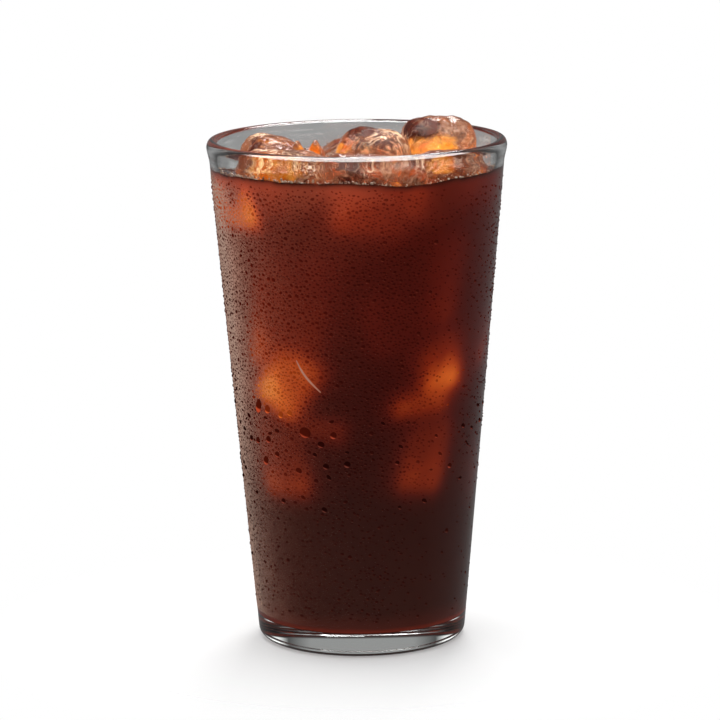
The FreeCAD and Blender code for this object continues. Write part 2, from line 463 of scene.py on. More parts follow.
def iceFinish():
    material, board = makeFinish("melting ice")
    tones = iceTones
    # where it shows painted amber light and painted shade, and where it is milky, creased and flecked
    # with painted glints
    patches = board.noise(130, 3.0, 0.55, 1.8)
    amber = ((board.attribute("amber") * 1.5 + (patches - 0.5) * 1.5 - 0.55) * 2.6).clamped()
    darkNoise = board.noise(210, 3.0, 0.6, 1.2)
    dark = ((board.attribute("dark") * 1.5 + (darkNoise - 0.5) * 2.2 - 0.42) * 3).clamped()
    ember = board.noise(150, 2.0, 0.6, 1.4).above(0.42, 6)
    cloud = board.noise(75, 3.0, 0.6, 2.6).above(0.47, 9) * (1 - dark) * 0.62 * (1 - amber * 0.6)
    wrinkled = ((board.noise(60, 1.0, 0.5) - 0.50) * 6 + board.attribute("wrinkled")).clamped()
    crease = board.noise(230, 3.0, 0.6, 2.6) * (0.12 + wrinkled * 0.88)
    # painted glints: squiggles and blobs of light where the ice is creased
    squiggle = board.ramp(board.noise(210, 2.0, 0.6, 1.8),
                          [(0.44, (0, 0, 0)), (0.50, (1, 1, 1)), (0.56, (0, 0, 0))])
    patchy = board.noise(140, 2.0, 0.5).above(0.46, 8)
    blob = board.noise(260, 2.0, 0.6, 1.0).above(0.54, 12) * board.attribute("wrinkled") ** 2
    paintedGlints = (squiggle * patchy * (0.1 + wrinkled * 0.9) * (1 - dark * 0.7) + blob * 0.9).clamped()
    # the clear and milky ice, the painted glints and the painted shade
    clear = board.mixColours(dark, *tones["clear"])
    clear = board.mixColours(amber, clear, board.mixColours(ember, *tones["ember"]))
    milky = board.ramp(board.noise(240, 3.0, 0.6, 1.5), tones["milky"])
    milky = board.mixColours(amber, milky, board.mixColours(ember, *tones["milkyEmber"]))
    glowing = board.mixColours(ember, *tones["glowing"])
    warm = board.mixColours(dark, *tones["warm"])
    normal = board.bump(crease, 0.9, 0.0022)
    sheen = 0.06 + board.noise(90, 2.0) * 0.06
    # the clear ice glows faintly, and brightly where amber: painted light
    wet = board.shader("BsdfPrincipled", {
        "Base Color": clear, "Roughness": board.noise(70, 2.0) * 0.04, "IOR": iceIor,
        "Transmission Weight": 1.0, "Specular Tint": tones["shine"],
        "Emission Color": board.mixColours(amber, warm, glowing), "Emission Strength": 0.62,
        "Normal": normal})
    veined = board.shader("BsdfPrincipled", {
        "Base Color": milky, "Roughness": sheen, "IOR": iceIor, "Specular IOR Level": 0.22,
        "Specular Tint": tones["veinShine"], "Normal": normal})
    glint = board.shader("BsdfPrincipled", {
        "Base Color": board.mixColours(amber, *tones["glint"]), "Roughness": 0.3,
        "Emission Color": tones["glintLight"], "Emission Strength": 0.7, "Normal": normal})
    shadowed = board.shader("BsdfPrincipled", {
        "Base Color": board.ramp(patches, tones["shadow"]), "Roughness": sheen + 0.02, "IOR": iceIor,
        "Specular IOR Level": 0.12, "Normal": normal})
    body = board.blendShaders(dark * 0.72, board.blendShaders(cloud, wet, veined), shadowed)
    board.close(board.blendShaders(paintedGlints, body, glint))
    return material


iceMaterial = iceFinish()
icePieces = {}
for node in iceNodes:
    icePieces[node] = finishPiece(shapeIce(node), iceMaterial, "ice", node)
    for name, spots in iceSpots.items():
        paintSpots(icePieces[node], name, spots)
print("ice shaped:", sum(len(o.data.polygons) for o in icePieces.values()), "faces")

# the ice under the surface, which is seen only as a glow in the drink
sunkLooks = {
    "round": 0.22,           # rounding of its edges, as a share of its width
    "grid": 1.2 * mm,
    "hollow": 9 * mm,
    "melt": 2.0 * mm,
}
# a row: angle left of the front, height, gap to the wall, width, height and depth in mm,
# roll, yaw and tip in degrees, brightness
sunkIce = [
    (37, 82.5, 0.4, 17, 22, 15, 26, 12, 6, 1.46),
    (-43, 86.6, 0.6, 14, 21, 15, -8, -12, -12, 1.45),
    (-32, 75.6, 0.9, 18, 7.5, 14, -5, -6, 0, 0.85),
    (18, 69.0, 2.0, 12, 8, 12, 12, 10, 0, 0.50),
    (43, 60.0, 1.3, 17, 27, 14, -6, 8, 0, 0.66),
    (-36, 60.0, 1.3, 15, 24, 14, 8, -8, 0, 0.72),
    (-44, 112.0, 1.8, 11, 28, 18, 6, -16, 0, 0.46),
    (35, 104.0, 1.2, 24, 42, 16, 8, 12, 4, 0.92),
    (-12, 100.0, 2.6, 14, 20, 16, -14, 14, 4, 0.26),
    (61, 132.5, 0.4, 22, 15, 16, -6, -6, 6, 1.4),
    (-4, 132.0, 1.2, 20, 13, 14, 6, 12, 10, 0.62),
    (-82, 90.0, 1.8, 17, 18, 18, 18, 20, 8, 0.62),
    (-78, 52.0, 3.0, 12, 20, 18, -12, 6, 0, 0.35),
    (92, 92.0, 2.0, 16, 17, 18, -22, 26, 4, 0.55),
    (100, 52.0, 2.8, 14, 20, 18, 16, -6, 0, 0.36),
    (135, 80.0, 1.0, 18, 19, 18, 26, 16, 6, 1.2),
    (-132, 76.0, 1.0, 18, 18, 18, -24, 24, 6, 1.3),
    (178, 56.0, 1.6, 15, 20, 18, 14, 10, 4, 0.7),
    (172, 104.0, 1.6, 18, 17, 18, -16, 18, 4, 0.8),
    (-150, 118.0, 2.2, 14, 16, 18, 20, 10, 6, 0.45),
    (122, 120.0, 2.0, 15, 15, 18, -12, 16, 6, 0.45),
]
# how brightly the ice at the surface glows through the drink
surfaceGlow = {"ice_left": 0.5, "ice_front_left": 0.34, "ice_front": 0.5, "ice_front_right": 0.22,
               "ice_centre": 0.5, "ice_right": 0.5, "ice_back": 0.4, "ice_shard": 0.2}


def makeSunkIce(side, height, gap, wide, tall, deep, roll, yaw, tip):
    deselectAll()
    look = sunkLooks
    turn = Matrix.Rotation(-math.radians(side), 3, "Z") @ Matrix.Rotation(-innerTilt, 3, "X")
    out = turn @ Vector((0, -1, 0))
    reach = innerRadius(height * mm) - (gap + deep / 2) * mm
    angle = math.radians(side)
    centre = Vector((-math.sin(angle) * reach, -math.cos(angle) * reach, height * mm))
    rolled, yawed, tipped = [Matrix.Rotation(math.radians(degrees), 3, axis)
                             for degrees, axis in ((roll, "Y"), (yaw, "Z"), (tip, "X"))]
    bpy.ops.mesh.primitive_cube_add(size=1 * mm, location=centre, scale=(wide, deep, tall),
                                    rotation=(turn @ yawed @ tipped @ rolled).to_euler())
    obj = bpy.context.object
    bpy.ops.object.transform_apply(location=True, rotation=True, scale=True)
    addModifier(obj, "BEVEL", width=min(wide, tall) * look["round"] * mm, segments=4, limit_method="NONE")
    addModifier(obj, "REMESH", mode="VOXEL", voxel_size=look["grid"])
    addModifier(obj, "SMOOTH", factor=0.5, iterations=4)
    addModifier(obj, "DISPLACE", texture=cloudPattern("sunk hollows", look["hollow"]),
                texture_coords="LOCAL", strength=-look["melt"], mid_level=0.5)
    # moved in until its outermost point keeps the gap to the wall
    over = max(v.co.xy.length - innerRadius(v.co.z) for v in obj.data.vertices)
    bpy.ops.transform.translate(value=-out * (over + gap * mm))
    bpy.ops.object.transform_apply(location=True, rotation=True, scale=True)
    return obj


glowLooks = {
    "fade": 4.4 * mm,                   # depth of drink that dims the glow to a third
    "spread": 0.36,                     # how far the rays fan out
    "fan": 6,                           # rays round the middle one
    "start": 0.4,                       # how far outside the drink they start, in mm
    "reach": 30 * mm,
    "lightSide": (-0.45, -0.55, 0.70),  # sides of the ice that face this way are brighter
    "blurs": 7,
    "ring": 0.30,                       # glow round the ice on the open surface
    "ringWide": 1.6 * mm,
    "hollowFade": 12 * mm,
}
lightSide = Vector(glowLooks["lightSide"]).normalized()


class GlowFinder:
    # how brightly ice glows through the drink at a point, by looking inwards for it
    def __init__(self, bodies):
        places, faces, self.owner, self.bright = [], [], [], []
        for obj, bright in bodies:
            shift = len(places)
            places += [v.co.copy() for v in obj.data.vertices]
            for face in obj.data.polygons:
                faces.append([shift + i for i in face.vertices])
                self.owner.append(len(self.bright))
            self.bright.append(bright)
        self.tree = BVHTree.FromPolygons(places, faces)

    def fan(self, inward):
        # the middle ray and those round it
        side = inward.cross(Vector((0, 0, 1)))
        side = side.normalized() if side.length > 0.01 else Vector((1, 0, 0))
        up = side.cross(inward).normalized()
        spread = glowLooks["spread"]
        yield inward.copy()
        for turn in range(1, glowLooks["fan"] + 1):
            angle = turn * 2 * math.pi / glowLooks["fan"]
            yield (inward + side * math.cos(angle) * spread + up * math.sin(angle) * spread).normalized()

    def look(self, point, inward):
        start = glowLooks["start"]
        total = 0.0
        for ray in self.fan(inward):
            origin = point - ray * start * mm
            normal, face, distance = self.tree.ray_cast(origin, ray, glowLooks["reach"])[1:]
            if face is None:
                continue
            inside = normal.dot(ray) > 0
            depth = 0 if inside else max(0, distance - start * mm)
            facing = 0.8 if inside else 0.62 + 0.38 * max(-1.0, min(1.0, normal.dot(lightSide)))
            total += self.bright[self.owner[face]] * facing * math.exp(-depth / glowLooks["fade"])
        return total / (glowLooks["fan"] + 1)


sunkPieces = [(makeSunkIce(*row[:-1]), row[-1]) for row in sunkIce]
glow = GlowFinder(sunkPieces + [(icePieces[n], surfaceGlow[n]) for n in iceNodes])
print("ice under the surface laid:", len(sunkPieces))

# the coffee
drink = {
    "reach": 0.15 * mm,        # how far it reaches into the wall, so that no air shows
    "level": coffeeHigh.z,
    "climb": 0.9 * mm,         # how far it creeps up the wall
    "creepStart": 0.15,        # how that curved edge falls off inwards, in mm
    "creepFade": 0.7,
    "creepFalls": (0.05, 0.25, 0.5, 0.9, 1.4, 2.0),
    "segments": 288,
    "step": 1.02 * mm,
    "steps": {"underside": 20, "corner": 8, "surface": 44},
    "middle": 0.5 * mm,        # radius of the first and last ring
    "bandTall": 6 * mm,        # what follows the uneven line: this far down
    "bandWide": 3 * mm,        # and this far in from the wall
    "lineHeight": 0.3,         # of the line against the glass, in mm above the climb
    "dip": (1.15, -24, 15),    # where the line dips at the front right: depth in mm, angle, width
    "ripples": [(0.14, 9, 0.6), (0.09, 23, -1.1), (0.06, 41, 0.0)],  # height in mm, waves, phase
}


def lineRise(angle):
    # how far the line against the glass rises or falls, by the angle left of the front
    deep, place, wide = drink["dip"]
    dip = deep * math.exp(-((math.degrees(angle) - place) / wide) ** 2)
    ripple = sum(size * math.sin(waves * angle + phase) for size, waves, phase in drink["ripples"])
    return (drink["lineHeight"] - dip + ripple) * mm


def makeCoffee():
    level, reach, steps = drink["level"], drink["reach"], drink["steps"]
    low = tumbler["base"] - reach
    centre = cornerCentre()
    # the underside and the side, both just inside the glass
    rings = [(drink["middle"], low)]
    rings += straight(rings[0], (centre[0], low), steps["underside"])
    rings += arc(*centre, tumbler["corner"] + reach, -90, -math.degrees(innerTilt), steps["corner"])
    top = (innerRadius(level + drink["climb"]) + reach, level + drink["climb"])
    rings += straight(rings[-1], top, int((top[1] - rings[-1][1]) / drink["step"])) + [top]
    # the edge that creeps up the glass, and the open surface
    edge = innerRadius(level)
    for fall in drink["creepFalls"]:
        creep = math.exp(-(fall + drink["creepStart"]) / drink["creepFade"])
        rings.append((edge - fall * mm, level + drink["climb"] * creep))
    middle = (drink["middle"], level)
    rings += straight(rings[-1], middle, steps["surface"]) + [middle]
    obj = turnShape("coffee_fill", rings, drink["segments"])
    tall, wide = drink["bandTall"], drink["bandWide"]
    for vertex in obj.data.vertices:
        if vertex.co.z > level - tall and vertex.co.xy.length > edge - wide:
            share = (vertex.co.z - level + tall) / tall
            inner = min(1, max(0, (vertex.co.xy.length - edge + wide) / wide))
            vertex.co.z += lineRise(math.atan2(-vertex.co.x, -vertex.co.y)) * min(1, share) * inner
    return obj


def cutForIce(coffee):
    for piece in icePieces.values():
        pick(piece)
        bpy.ops.object.duplicate()
        cutter = bpy.context.object
        cutter.parent = None
        addModifier(cutter, "DISPLACE", strength=-iceLooks["overlap"], mid_level=0.0)
        addModifier(coffee, "BOOLEAN", operation="DIFFERENCE", object=cutter, solver="MANIFOLD")
        bpy.data.objects.remove(cutter)


def paintGlow(obj):
    # how brightly each point glows, how deep it lies in a hollow, how near the top edge it is
    places = vertexPlaces(obj)
    normals = np.zeros(len(obj.data.vertices) * 3)
    obj.data.vertices.foreach_get("normal", normals)
    normals = normals.reshape(-1, 3)
    level = drink["level"]
    values, hollow = np.zeros(len(places)), np.zeros(len(places))
    for i, (place, normal) in enumerate(zip(places, normals)):
        radius = math.hypot(place[0], place[1])
        wall = innerRadius(place[2]) + drink["reach"]
        point = Vector(place)
        if radius > wall - 0.5 * mm or place[2] < tumbler["base"] + 1 * mm:    # against the glass
            values[i] = glow.look(point, -Vector(normal))
        elif place[2] > level - 0.3 * mm and normal[2] > 0.5:                  # the open surface
            near = glow.tree.find_nearest(point)[3]
            values[i] = glowLooks["ring"] * math.exp(-near / glowLooks["ringWide"])
        else:                                                                  # the hollows round the ice
            # painted light in the hollows, bright near the surface and fading into painted shade deeper
            # down
            hollow[i] = math.exp(-max(0, level - place[2]) / glowLooks["hollowFade"])
    # the glow is blurred from each point into its neighbours
    ends = np.zeros(len(obj.data.edges) * 2, np.int32)
    obj.data.edges.foreach_get("vertices", ends)
    first, second = ends.reshape(-1, 2).T
    count = np.bincount(ends, minlength=len(values)) + 1.0
    for turn in range(glowLooks["blurs"]):
        spread = values.copy()
        np.add.at(spread, first, values[second])
        np.add.at(spread, second, values[first])
        values = spread / count
    radii = np.hypot(places[:, 0], places[:, 1])
    walls = innerTop - innerSlope * (innerStart - places[:, 2])
    atGlass = radii > walls - 0.05 * mm
    rise = np.array([lineRise(a) for a in np.arctan2(-places[:, 0], -places[:, 1])])
    below = level + drink["climb"] + rise - places[:, 2]
    setAttribute(obj, "glow", values)
    setAttribute(obj, "hollow", hollow)
    setAttribute(obj, "edge", np.where(atGlass, np.exp(-(below / drink["climb"]) ** 2), 0))


# colours by the glow and by the depth in a hollow, both painted light and shade, and from the foot to the
# surface, with painted light at the foot's edge and near the top
drinkRamp = [(0.0, (0.0, 0.0, 0.0)), (0.12, (0.045, 0.003, 0.001)), (0.3, (0.16, 0.014, 0.002)),
             (0.5, (0.38, 0.050, 0.006)), (0.75, (0.66, 0.135, 0.014)), (1.0, (0.90, 0.28, 0.040))]
hollowRamp = [(0.0, (0.025, 0.006, 0.004)), (0.38, (0.06, 0.012, 0.007)), (0.50, (0.22, 0.045, 0.018)),
              (0.60, (0.52, 0.15, 0.025)), (0.78, (0.78, 0.33, 0.045)), (1.0, (0.85, 0.50, 0.15))]
# the bright red at the very foot and the brighter red near the surface are painted light
bodyRamp = [(0.0, (0.022, 0.008, 0.006)), (0.004, (0.15, 0.020, 0.011)), (0.014, (0.060, 0.014, 0.010)),
            (0.05, (0.034, 0.0105, 0.0078)), (0.30, (0.031, 0.0078, 0.0058)),
            (0.55, (0.042, 0.0045, 0.0030)), (0.80, (0.068, 0.0060, 0.0032)),
            (0.93, (0.125, 0.016, 0.008)), (1.0, (0.24, 0.042, 0.020))]
edgeTone = (0.020, 0.006, 0.004)
surfaceTone = (0.026, 0.0068, 0.0042)


def drinkColour(board):
    # dark brown at the foot with a painted line of light along its edge, brighter red near the top from
    # painted light, and lit where ice glows through
    share = (board.axis(2) - tumbler["base"]) / (drink["level"] - tumbler["base"])
    drift = board.noise(26, 3.0, 0.5, 0.6)
    # the right of the upper half is darker
    shade = ((board.axis(0) + 5 * mm) / (40 * mm)).clamped() * share.above(0.55, 2.5)
    body = board.ramp(share + (drift - 0.5) * 0.25 * (share * 6).clamped() - shade * 0.20, bodyRamp)
    mottle = (board.attribute("glow") * (0.75 + board.noise(75, 3.0, 0.6, 0.4) * 0.5)).clamped()
    lit = board.ramp(mottle, drinkRamp)
    colour = board.mixColours(1.0, body, lit, "ADD")
    streaks = board.noise(95, 3.0, 0.6, 1.6)
    hollow = board.attribute("hollow")
    # the hollows are painted amber light near the surface, darkening into painted shade deeper down
    amber = board.ramp((hollow * 0.5 + (streaks - 0.5) * 2.2 + 0.06).clamped(), hollowRamp)
    colour = board.mixColours((hollow * 50).clamped(), colour, amber)
    edge = (board.attribute("edge") * (0.4 + board.noise(420, 2.0) * 1.2)).clamped()
    return board.mixColours(edge, colour, edgeTone)


def coffeeFinish():
    material, board = makeFinish("black coffee")
    colour = drinkColour(board)
    normalUp = board.axis(2, board.add("NewGeometry", {}, {}, "Normal"))
    wet = normalUp.above(0.6, 5)
    onTop = wet * (1 - (board.attribute("hollow") * 50).clamped())
    ringed = board.ramp(board.attribute("glow").clamped(), drinkRamp)
    tone = board.mixColours(onTop, colour, board.mixColours(1.0, surfaceTone, ringed, "ADD"))
    # the drink glows in its own colour at half strength, painted light for the light coming through it
    againstGlass = board.shader("BsdfPrincipled", {
        "Base Color": colour, "Roughness": 1.0, "Specular IOR Level": 0.0,
        "Emission Color": colour, "Emission Strength": 0.5})
    surface = board.shader("BsdfPrincipled", {
        "Base Color": tone, "Roughness": 0.06, "Specular IOR Level": 0.3,
        "Emission Color": tone, "Emission Strength": 0.5,
        "Normal": board.bump(board.noise(160, 2.0), 0.1, 0.0008)})
    board.close(board.blendShaders(wet, againstGlass, surface))
    return material


coffeePiece = makeCoffee()
print("coffee filled:", len(coffeePiece.data.polygons), "faces")
cutForIce(coffeePiece)
pick(coffeePiece)
bpy.ops.object.shade_smooth_by_angle(angle=math.radians(50))
paintGlow(coffeePiece)
finishPiece(coffeePiece, coffeeFinish(), "coffee", "coffee")
print("coffee cut round the ice:", len(coffeePiece.data.polygons), "faces")


# the veil of mist; pairs are where it thickens or thins, in degrees left of the front or in mm of height
mist = {
    "lift": 0.06 * mm,       # gap to the glass
    "low": 9 * mm,
    "high": 143 * mm,
    "segments": 300,
    "step": 1.2 * mm,
    "thickest": 0.11,
    "grazing": 1.9,          # how much thicker it looks along the glass
    "leftFrom": (-30, 66),
    "leftTo": (125, 185),
    "rearFrom": (95, 150),
    "lowFrom": (45, 88),
    "topTo": (135, 141),
}
# the same for the drops
dropSpread = {
    "leftFrom": (-40, 0),
    "leftTo": (60, 95),
    "rearFrom": (95, 140),
    "lowFrom": (40, 80),
    "topTo": (134, 140),
    "heights": (11, 143),
    "rightEnd": -95,
}


def wetness(angles, heights):
    # how much condensation there is, from 0 to 1, by the angle left of the front and the height
    front = np.degrees(np.arctan2(np.sin(angles), np.cos(angles)))
    left = smoothStep(*mist["leftFrom"], front) ** 1.3
    left = left * (1 - smoothStep(*mist["leftTo"], np.abs(front)) * 0.35)
    rear = smoothStep(*mist["rearFrom"], np.abs(front)) * 0.55
    around = np.clip(np.maximum(left, rear), 0, 1)
    upper = 0.42 + 0.58 * smoothStep(*mist["lowFrom"], heights / mm)
    return around * upper * (1 - smoothStep(*mist["topTo"], heights / mm))


def dropChance(angle, height):
    # thick on the left and middle of the front, thin on the right and low down
    front = math.degrees(math.atan2(math.sin(angle), math.cos(angle)))

    def step(name, value):
        return float(smoothStep(*dropSpread[name], value))

    across = 0.05 + 0.95 * step("leftFrom", front) * (1 - 0.45 * step("leftTo", front))
    behind = 0.5 * step("rearFrom", abs(front))
    share = max(across if front > dropSpread["rightEnd"] else 0.06, behind)
    return share * (0.10 + 0.90 * step("lowFrom", height / mm))


def wallFrame(angle, height):
    # point on the outer wall with its sideways, upward and outward directions
    out = Vector((-math.sin(angle) * math.cos(wallTilt), -math.cos(angle) * math.cos(wallTilt),
                  -math.sin(wallTilt)))
    side = Vector((-math.cos(angle), math.sin(angle), 0))
    up = out.cross(side)
    if up.z < 0:
        up = -up
    radius = outerRadius(height)
    point = Vector((-math.sin(angle) * radius, -math.cos(angle) * radius, height))
    return point, side, up, out


# sizes are half widths in mm, rise is the height of a drop as a share of its half width,
# reach is how many mm away its neighbours are looked for, and band the heights in mm it keeps to
dropKinds = {
    "fine": {"count": 13000, "sizes": (0.26, 0.54), "rise": 0.40, "sides": 6, "rings": 4,
             "seed": 5, "reach": 2},
    "middling": {"count": 1300, "sizes": (0.50, 0.72), "rise": 0.45, "sides": 10, "rings": 6,
                 "seed": 11, "reach": 2},
    "large": {"count": 110, "sizes": (0.6, 1.0), "rise": 0.5, "sides": 16, "rings": 10,
              "seed": 23, "reach": 3, "band": (44, 78)},
}
triesEach = 14             # places tried for each drop at most
spacing = 1.05             # drops stand at least this many times their half widths apart
# drops that have run together: angle left of the front, height, half width and half height in mm
namedDrops = [(52, 74, 1.0, 1.9), (46, 73.5, 0.9, 1.1), (38, 72.5, 0.7, 0.9), (33, 73.4, 0.7, 0.7),
              (25.5, 68.0, 1.5, 1.3), (12, 67.6, 0.8, 0.9), (18, 64.7, 0.9, 0.8), (47, 64.4, 0.8, 0.9),
              (55, 63.4, 0.8, 0.8), (61, 63.4, 0.7, 0.8), (50, 57.8, 0.9, 1.2), (30, 56.3, 0.9, 0.7),
              (16, 58.2, 0.8, 0.7), (6, 59.0, 0.8, 0.8)]


def modelDrop(name, sides, rings):
    # one drop, flat where it sits on the glass, one unit across its half width
    deselectAll()
    bpy.ops.mesh.primitive_uv_sphere_add(segments=sides, ring_count=rings, radius=1.0, location=(0, 0, 0))
    obj = bpy.context.object
    obj.name = name
    bpy.ops.object.mode_set(mode="EDIT")
    bpy.ops.mesh.select_all(action="SELECT")
    bpy.ops.mesh.bisect(plane_co=(0, 0, 0), plane_no=(0, 0, 1), clear_inner=True, use_fill=True)
    bpy.ops.object.mode_set(mode="OBJECT")
    return obj


def cellOf(place):
    # places on the glass are kept in cells of one mm
    return tuple(int(c // mm) for c in place)


def take(taken, place, radius):
    taken.setdefault(cellOf(place), []).append((place, radius))


def likely(kind, angle, height):
    # how likely a drop of a kind is at a place
    dry = 1 - float(smoothStep(*dropSpread["topTo"], height / mm))
    if "band" not in kind:
        return dropChance(angle, height) * dry
    wet = float(wetness(np.array(angle), np.array(height)))
    low, high = kind["band"]
    return 0.25 + 0.7 * wet if low * mm < height < high * mm else 0.06 * wet * dry


def scatterPlaces(kind, taken, laid=()):
    # angle, height, half width, lean and flatness of each drop, the laid ones first
    chance = random.Random(kind["seed"])
    found = []
    for side, height, halfWide, halfTall in laid:
        place = wallFrame(math.radians(side), height * mm)[0]
        take(taken, place, max(halfWide, halfTall) * mm)
        found.append((math.radians(side), height * mm, halfWide * 1.2 * mm, 0.15, halfTall / halfWide))
    low, high = kind["sizes"]
    around = range(-kind["reach"], kind["reach"] + 1)
    tries = 0
    while len(found) < kind["count"] and tries < kind["count"] * triesEach:
        tries += 1
        angle = chance.uniform(-math.pi, math.pi)
        height = chance.uniform(*dropSpread["heights"]) * mm
        draw, size, lean = chance.random(), chance.random(), chance.uniform(-1, 1)
        if draw > likely(kind, angle, height):
            continue
        radius = (low + (high - low) * size ** 1.3) * mm
        place = wallFrame(angle, height)[0]
        x, y, z = cellOf(place)
        near = [other for a in around for b in around for c in around
                for other in taken.get((x + a, y + b, z + c), ())]
        if any((place - other).length < (radius + wide) * spacing for other, wide in near):
            continue
        take(taken, place, radius)
        found.append((angle, height, radius, lean, 0.5 + 0.5 * chance.random() ** 2))
    return found


def joinCopies(name, model, blocks, **values):
    # one mesh out of many placed copies of a small model
    count, total = len(model.data.vertices), len(blocks)
    faces = [list(face.vertices) for face in model.data.polygons]
    loops = np.concatenate([np.array(face) for face in faces])
    starts = np.concatenate([[0], np.cumsum([len(face) for face in faces])[:-1]])
    turns = np.arange(total)[:, None]
    mesh = bpy.data.meshes.new(name)
    mesh.vertices.add(total * count)
    mesh.vertices.foreach_set("co", np.concatenate(blocks).ravel())
    mesh.loops.add(total * len(loops))
    mesh.loops.foreach_set("vertex_index", (loops[None, :] + turns * count).ravel().astype(np.int32))
    mesh.polygons.add(total * len(faces))
    starts = (starts[None, :] + turns * len(loops)).ravel()
    mesh.polygons.foreach_set("loop_start", starts.astype(np.int32))
    mesh.update(calc_edges=True)
    obj = bpy.data.objects.new(name, mesh)
    bpy.context.scene.collection.objects.link(obj)
    pick(obj)
    bpy.ops.object.shade_smooth_by_angle(angle=math.radians(60))
    for key, column in values.items():
        setAttribute(obj, key, column)
    bpy.data.objects.remove(model)
    return obj


def scatterDrops(name, kind, places):
    model = modelDrop(name + "_model", kind["sides"], kind["rings"])
    shape = vertexPlaces(model)
    blocks, glows, caps = [], [], []
    for angle, height, radius, lean, tall in places:
        point, side, up, out = wallFrame(angle, height)
        spin = lean * 0.8 + 0.2
        along = side * math.cos(spin) + up * math.sin(spin)
        across = up * math.cos(spin) - side * math.sin(spin)
        block = shape @ np.array([along * radius, across * radius * tall, out * radius * kind["rise"]])
        blocks.append(block + np.array(point))
        inner = point - out * (outerRadius(height) - innerRadius(height))
        glows.append(np.full(len(shape), glow.look(inner, -out) if height < drink["level"] else 0.3))
        caps.append(block @ np.array(up - side * 0.4) / radius)    # up and to one side of its middle
    return joinCopies(name, model, blocks, glow=np.concatenate(glows), cap=np.concatenate(caps))


def dropFinish(name, dim, lit):
    # a drop is a lens that shows the drink upside down: dimmed above, lit below, even where ice glows
    material, board = makeFinish(name)
    colour = board.mixColours(1.0, drinkColour(board), (0.042, 0.0085, 0.0055), "ADD")
    below = (0.25 - board.attribute("cap")).clamped()
    lens = board.ramp(below, [(0.0, (0.42 * dim, 0.27 * dim, 0.25 * dim)),
                              (0.55, (0.55 * dim, 0.40 * dim, 0.38 * dim)), (0.8, (lit, lit, lit)),
                              (1.0, (lit * 1.5, lit * 1.7, lit * 1.7))])
    lens = board.mixColours((board.attribute("glow") * 1.1).clamped(), lens, (0.66, 0.55, 0.50))
    closeFinish(board, {"Base Color": board.mixColours(1.0, colour, lens, "MULTIPLY"),
                        "Roughness": 0.08 + board.noise(900, 1.0) * 0.05, "Specular IOR Level": 0.0})
    return material


# the thin run of water at the front
trail = {
    "from": (27.8, 89.2),     # angle left of the front and height in mm where the run of water starts
    "to": (17.3, 80.4),
    "bow": 0.9 * mm,
    "steps": 60,
    "halfWide": 0.21 * mm,
    "stretch": (1.6, 2.2, 0.8),    # each bead of it sideways, upward and outward, in half widths
}


def trailPlaces():
    # point on the glass with its directions, and how far along the run it is
    for i in range(trail["steps"]):
        share = i / (trail["steps"] - 1)
        front = trail["from"][0] + (trail["to"][0] - trail["from"][0]) * share
        height = (trail["from"][1] + (trail["to"][1] - trail["from"][1]) * share) * mm
        point, side, up, out = wallFrame(math.radians(front), height)
        yield point + side * trail["bow"] * math.sin(math.pi * share), side, up, out, share


# the drops keep off the run of water and off each other, the largest placed first
taken = {}
for point, *rest in trailPlaces():
    take(taken, point, trail["halfWide"] * 2)
largePlaces = scatterPlaces(dropKinds["large"], taken, namedDrops)
middlingPlaces = scatterPlaces(dropKinds["middling"], taken)
finePlaces = scatterPlaces(dropKinds["fine"], taken)
smallDrop = dropFinish("fine drops", 1.0, 1.1)
runDrop = dropFinish("run drops", 0.45, 2.2)
half = len(finePlaces) // 2      # the fine ones are two pieces, to keep each one light
for name, kind, places, finish in (
        ("large_drops", "large", largePlaces, runDrop),
        ("middling_drops", "middling", middlingPlaces, smallDrop),
        ("fine_drops_1", "fine", finePlaces[:half], smallDrop),
        ("fine_drops_2", "fine", finePlaces[half:], smallDrop)):
    finishPiece(scatterDrops(name, dropKinds[kind], places), finish, "glass")
print("drops:", len(largePlaces), len(middlingPlaces), len(finePlaces))


def makeTrail():
    # a thin bowed run of water across the mist
    model = modelDrop("trail_model", 7, 4)
    shape = vertexPlaces(model)
    blocks = []
    for point, side, up, out, share in trailPlaces():
        thick = trail["halfWide"] * (0.5 + 0.5 * math.sin(math.pi * share))
        axes = [axis * thick * stretch for axis, stretch in zip((side, up, out), trail["stretch"])]
        blocks.append(shape @ np.array(axes) + np.array(point))
    return joinCopies("water_trail", model, blocks)


def trailFinish():
    material, board = makeFinish("run of water")
    # the run of water is painted light pink, a painted highlight along it, with no reflection of its own
    tone = board.ramp(board.noise(400, 2.0), [(0.3, (0.44, 0.16, 0.10)), (0.7, (0.56, 0.26, 0.18))])
    closeFinish(board, {"Base Color": tone, "Roughness": 0.4 + board.noise(300, 1.0) * 0.1,
                        "Specular IOR Level": 0.0})
    return material


finishPiece(makeTrail(), trailFinish(), "glass")

# froth along the line where the drink meets the glass
bubbles = {
    "count": 340,
    "sizes": (0.16, 0.42),                        # radius in mm
    "seed": 41,
    "clusters": [(0.75, 40, 24), (0.6, 2, 12)],   # how much more, angle left of the front, width
    "spread": 0.38,                               # up and down, in mm
    "sink": 0.85,                                 # how far into the drink, in radii from the glass
}


